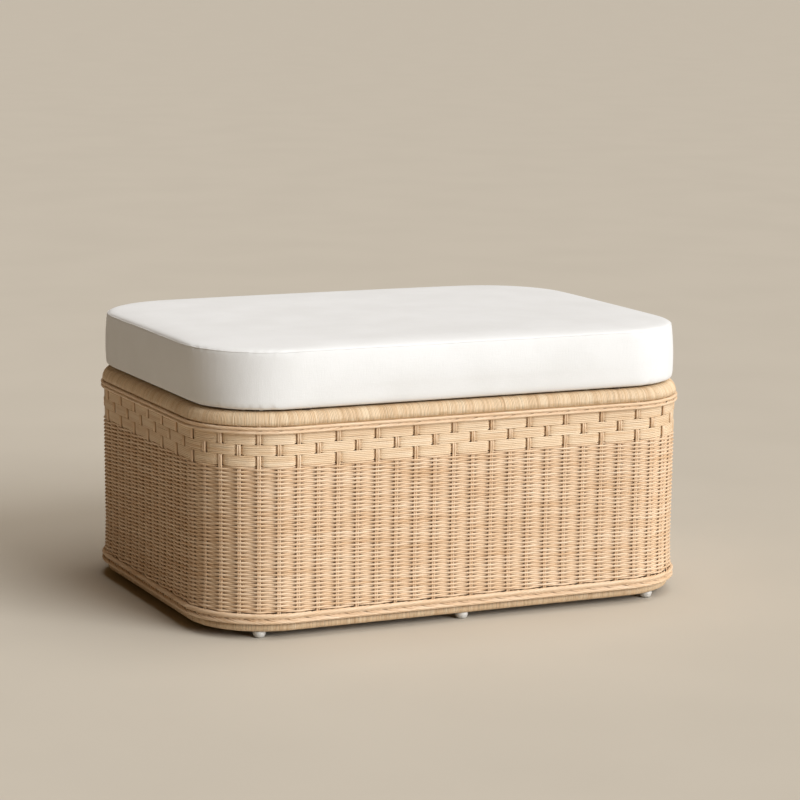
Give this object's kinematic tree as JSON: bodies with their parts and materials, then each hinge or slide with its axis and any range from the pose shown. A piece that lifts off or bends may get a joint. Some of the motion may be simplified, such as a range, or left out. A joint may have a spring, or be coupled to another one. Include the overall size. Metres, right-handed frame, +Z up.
{
  "type": "storage ottoman",
  "caption": "Round-cornered woven rattan ottoman with an upholstered lid that hinges up from the back rim to open a storage bay.",
  "frame": {"origin": "on the floor, under the middle of the ottoman's plan", "axes": "+Z up, +X along the long side, -Y towards the front; the lid's hinges are on the back rim at +Y"},
  "size_m": [0.7986, 0.5886, 0.422],
  "materials": {
    "rattan_core": "satin",
    "rattan_band": "satin",
    "rattan_peel": "satin",
    "frame_wood": "matte",
    "plywood": "matte",
    "cover_fabric": "matte",
    "lining_fabric": "matte",
    "foam": "matte",
    "hinge_steel": "satin",
    "glide_plastic": "satin",
    "bumper_felt": "matte"
  },
  "bodies": {
    "base": {"bottom_rail": "frame_wood", "bottom_rail_wrap": "rattan_peel", "top_rail": "frame_wood", "top_rail_wrap": "rattan_peel", "post_front_left": "frame_wood", "post_front_middle": "frame_wood", "post_front_right": "frame_wood", "post_back_left": "frame_wood", "post_back_middle": "frame_wood", "post_back_right": "frame_wood", "base_slat_1": "frame_wood", "base_slat_2": "frame_wood", "base_slat_3": "frame_wood", "base_panel": "plywood", "foot_front_left": "glide_plastic", "foot_front_middle": "glide_plastic", "foot_front_right": "glide_plastic", "foot_back_left": "glide_plastic", "foot_back_middle": "glide_plastic", "foot_back_right": "glide_plastic", "bottom_braid": "rattan_core", "woven_wall": "rattan_core", "band_row_1": "rattan_band", "band_row_2": "rattan_band", "band_row_3": "rattan_band", "top_braid": "rattan_core", "hinge_base_leaf_left": "hinge_steel", "hinge_base_leaf_right": "hinge_steel", "hinge_pin_left": "hinge_steel", "hinge_pin_right": "hinge_steel", "rim_screw_left_1": "hinge_steel", "rim_screw_left_2": "hinge_steel", "rim_screw_right_1": "hinge_steel", "rim_screw_right_2": "hinge_steel"},
    "lid": {"lid_board": "plywood", "cushion_foam": "foam", "cover_side_band": "cover_fabric", "cover_top_panel": "cover_fabric", "dust_cover": "lining_fabric", "bumper_front_left": "bumper_felt", "bumper_front_right": "bumper_felt", "bumper_back_left": "bumper_felt", "bumper_back_right": "bumper_felt", "hinge_lid_leaf_left": "hinge_steel", "hinge_lid_leaf_right": "hinge_steel", "lid_screw_left_1": "hinge_steel", "lid_screw_left_2": "hinge_steel", "lid_screw_right_1": "hinge_steel", "lid_screw_right_2": "hinge_steel"}
  },
  "joints": [
    {"name": "lid_hinge", "type": "hinge", "parent": "base", "child": "lid", "pos_m": [0, 0.29, 0.3296], "axis": [-1, 0, 0], "range_deg": [0, 90]}
  ]
}
